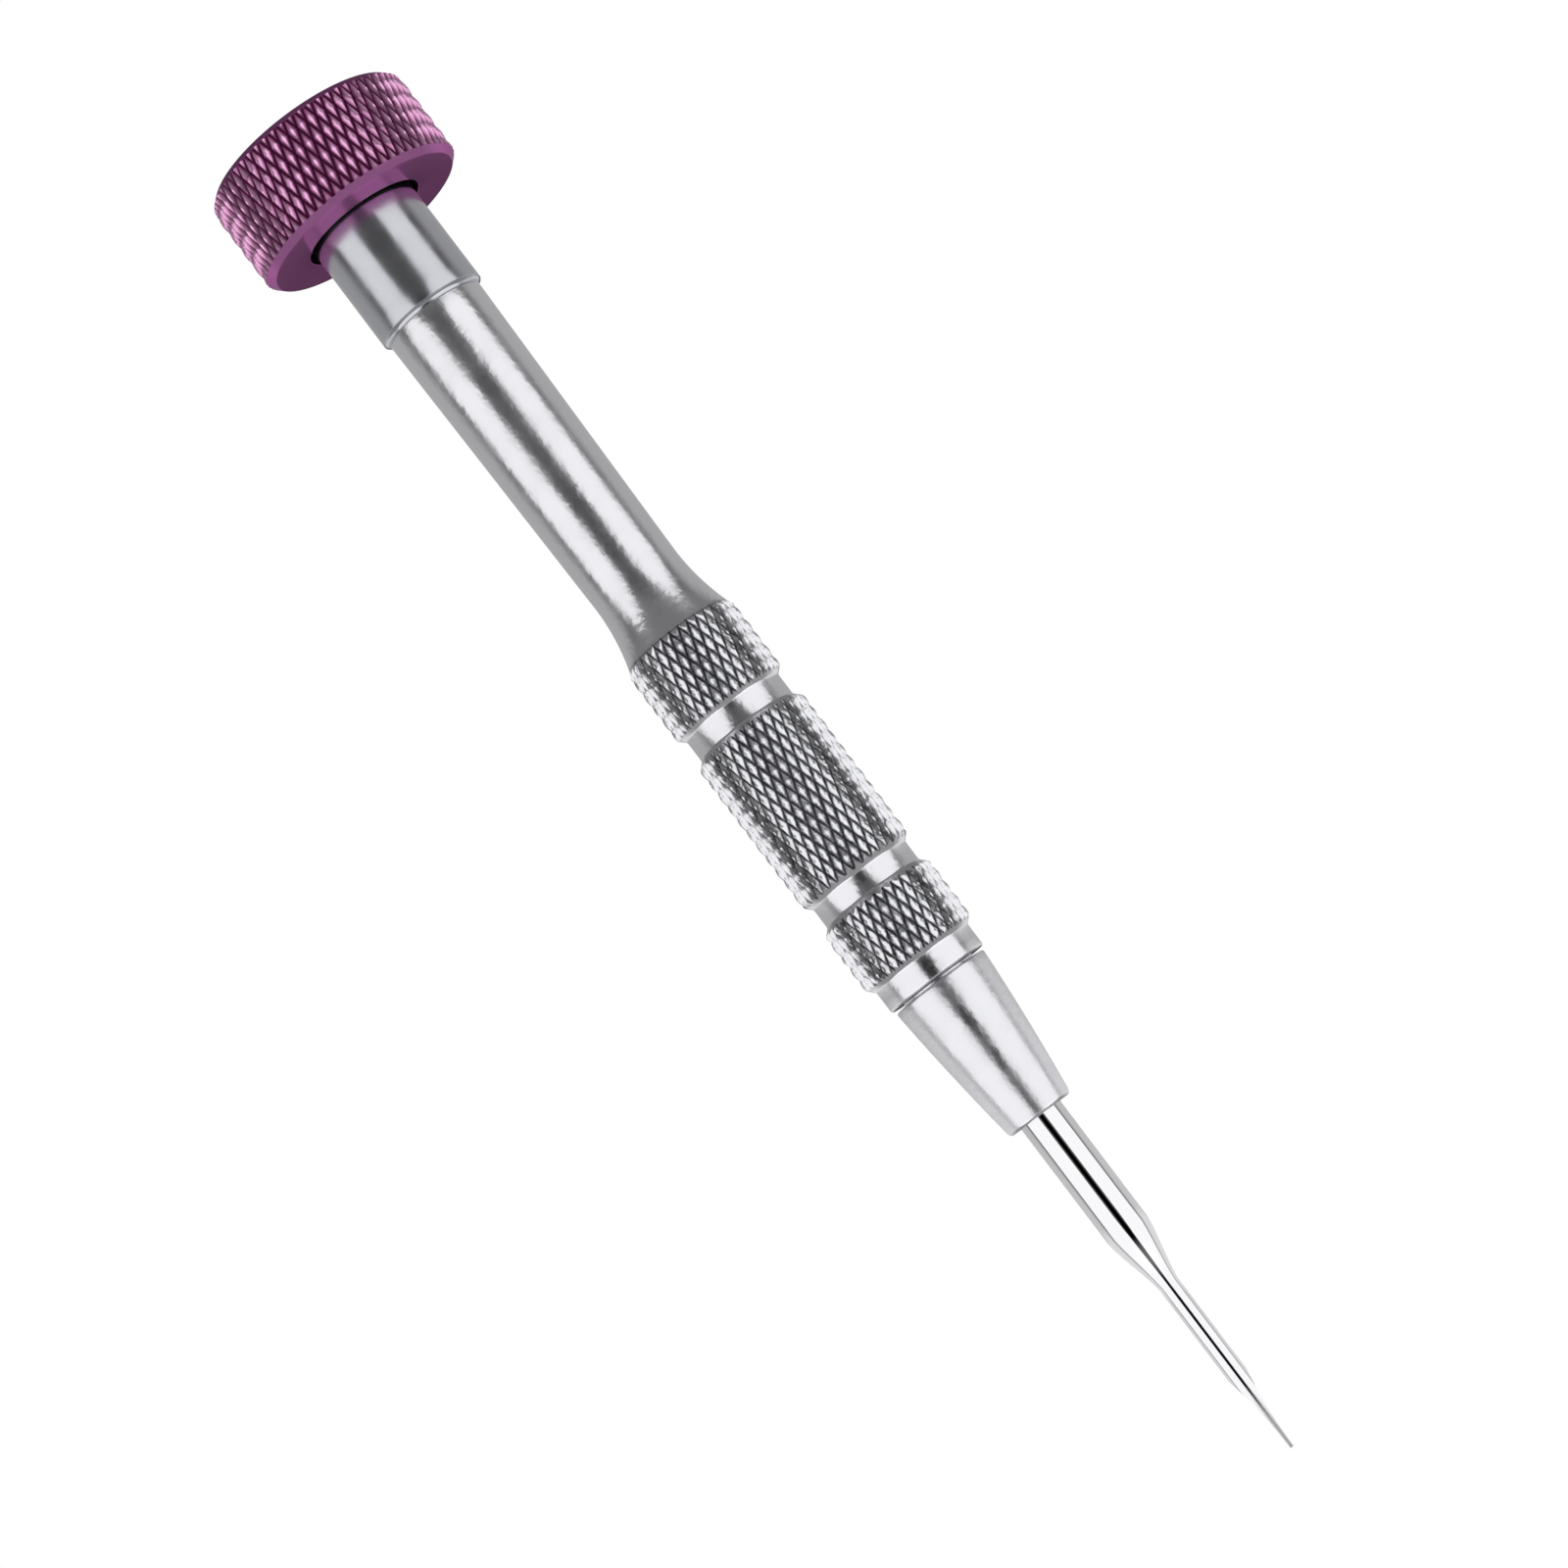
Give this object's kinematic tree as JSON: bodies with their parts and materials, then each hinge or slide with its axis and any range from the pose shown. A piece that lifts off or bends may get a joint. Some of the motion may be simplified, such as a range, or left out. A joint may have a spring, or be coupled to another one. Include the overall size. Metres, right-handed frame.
{
  "type": "watchmaker screwdriver",
  "caption": "Slim knurled aluminium watchmaker screwdriver with a free-spinning anodised finger cap, a collet nose and an exchangeable hollow-ground flat blade.",
  "frame": {"origin": "on the tool's axis, at the shoulder where the front knurl meets the smooth seat band, which is where a screwdriver stand's ring stops", "axes": "+Z along the tool's axis towards the swivel cap, so the blade points along -Z; +Y is along the width of the blade's edge"},
  "size_m": [0.0173, 0.0172, 0.1201],
  "materials": {
    "turned_aluminium": "turned and satin, knurled grip bands",
    "collar_steel": "fine turned",
    "purple_anodised": "anodised, knurled rim",
    "blade_steel": "polished, hollow-ground tip",
    "bearing_steel": "ground and polished",
    "spring_steel": "bright",
    "cage_brass": "pressed",
    "collet_brass": "turned and slit",
    "black_steel": "blackened"
  },
  "bodies": {
    "handle": {"handle_barrel": "turned_aluminium", "end_collar": "collar_steel", "bearing_shim": "spring_steel", "bearing_inner_ring": "bearing_steel", "spindle_washer": "spring_steel", "spindle_screw": "black_steel", "collet_key_pin": "black_steel", "collet_spring": "spring_steel", "blade_stop_screw": "black_steel"},
    "cap": {"swivel_cap": "purple_anodised", "cap_disc": "purple_anodised", "bearing_outer_ring": "bearing_steel", "shield_upper": "spring_steel", "shield_lower": "spring_steel", "shield_ring_upper": "spring_steel", "shield_ring_lower": "spring_steel"},
    "ball_cage": {"bearing_balls": "bearing_steel", "bearing_cage": "cage_brass"},
    "chuck": {"collet": "collet_brass"},
    "nose": {"nose_cone": "turned_aluminium"},
    "blade": {"blade": "blade_steel"}
  },
  "joints": [
    {"name": "cap_spin", "type": "hinge", "parent": "handle", "child": "cap", "pos_m": [0, 0, 0.07136], "axis": [0, 0, 1], "continuous": true},
    {"name": "cage_spin", "type": "hinge", "parent": "handle", "child": "ball_cage", "pos_m": [0, 0, 0.07136], "axis": [0, 0, 1], "continuous": true},
    {"name": "collet_feed", "type": "slide", "parent": "handle", "child": "chuck", "axis": [0, 0, 1], "range_m": [-0.0015, 0], "deforming": ["collet_spring"]},
    {"name": "nose_turn", "type": "hinge", "parent": "chuck", "child": "nose", "pos_m": [0, 0, -0.0082], "axis": [0, 0, 1], "range_deg": [-1080, 0]},
    {"name": "blade_slide", "type": "slide", "parent": "handle", "child": "blade", "axis": [0, 0, -1], "range_m": [0, 0.0185]}
  ],
  "couplings": [
    {"joint": "cage_spin", "follows": "cap_spin", "ratio": 0.59167},
    {"joint": "nose_turn", "follows": "collet_feed", "rad_per_m": 12566}
  ]
}
